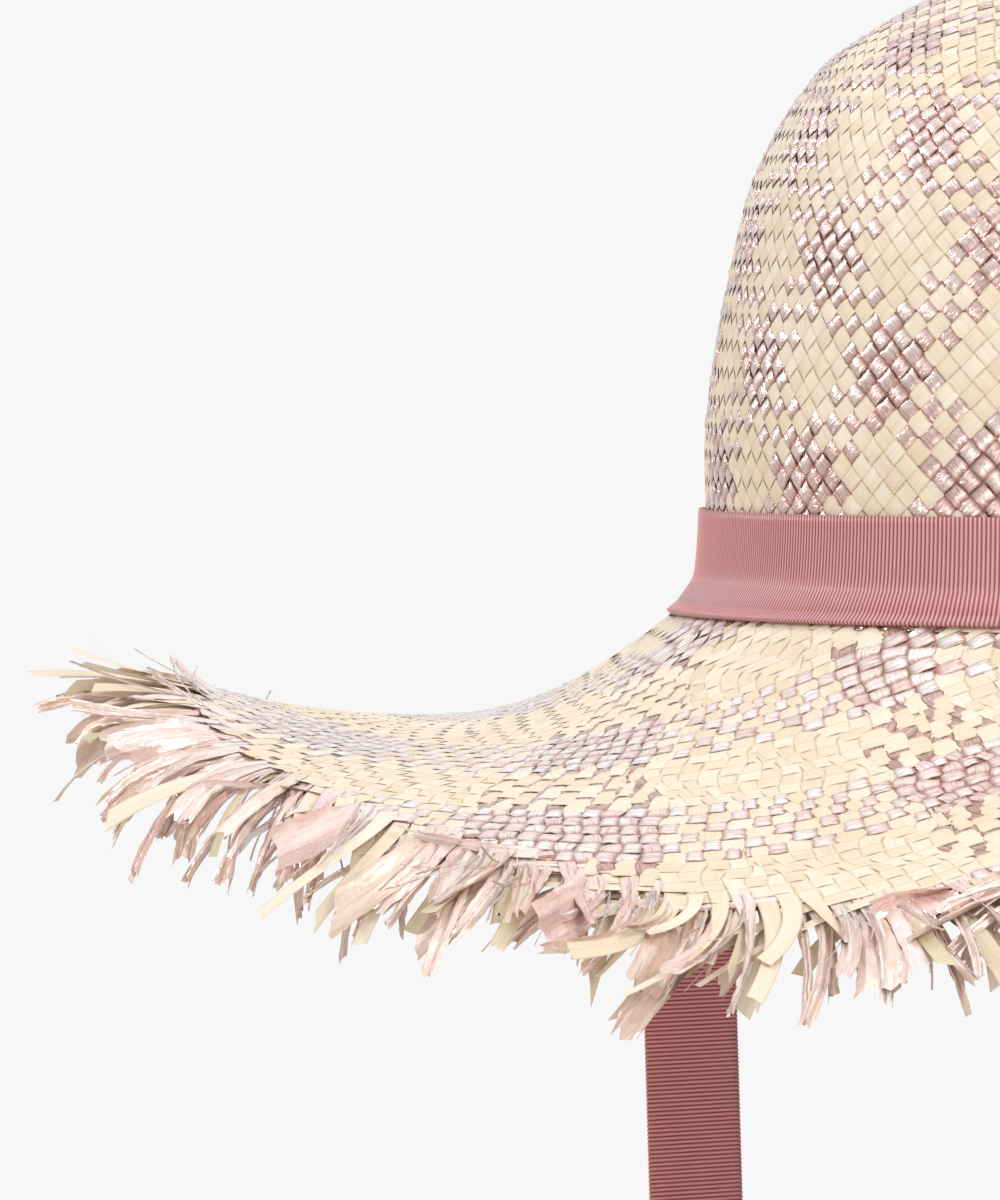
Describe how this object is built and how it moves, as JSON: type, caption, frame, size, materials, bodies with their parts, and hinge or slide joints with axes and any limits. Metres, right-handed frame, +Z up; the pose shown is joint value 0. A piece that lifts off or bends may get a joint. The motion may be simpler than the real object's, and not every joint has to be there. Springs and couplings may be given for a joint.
{
  "type": "wide-brimmed fringed hat",
  "caption": "Woven paper-straw hat with a rounded crown, a wide dipping brim with a frayed edge, a ribbon band and hanging ribbon ties.",
  "frame": {"origin": "middle of the head opening, level with the lower edge of the band", "axes": "+Z up through the crown, -Y towards the front of the hat, -X towards the wearer's right"},
  "size_m": [0.4644, 0.4345, 0.557],
  "materials": {
    "straw": "matte cream paper strips, plain woven with strips of pink foil",
    "foil": "crinkled rose foil and paper, frayed",
    "ribbon": "ribbed dusty rose grosgrain"
  },
  "bodies": {
    "root": {"woven_body": "straw", "brim_fringe": "foil", "hat_band": "ribbon", "tie_right": "ribbon", "tie_left": "ribbon"}
  },
  "joints": []
}
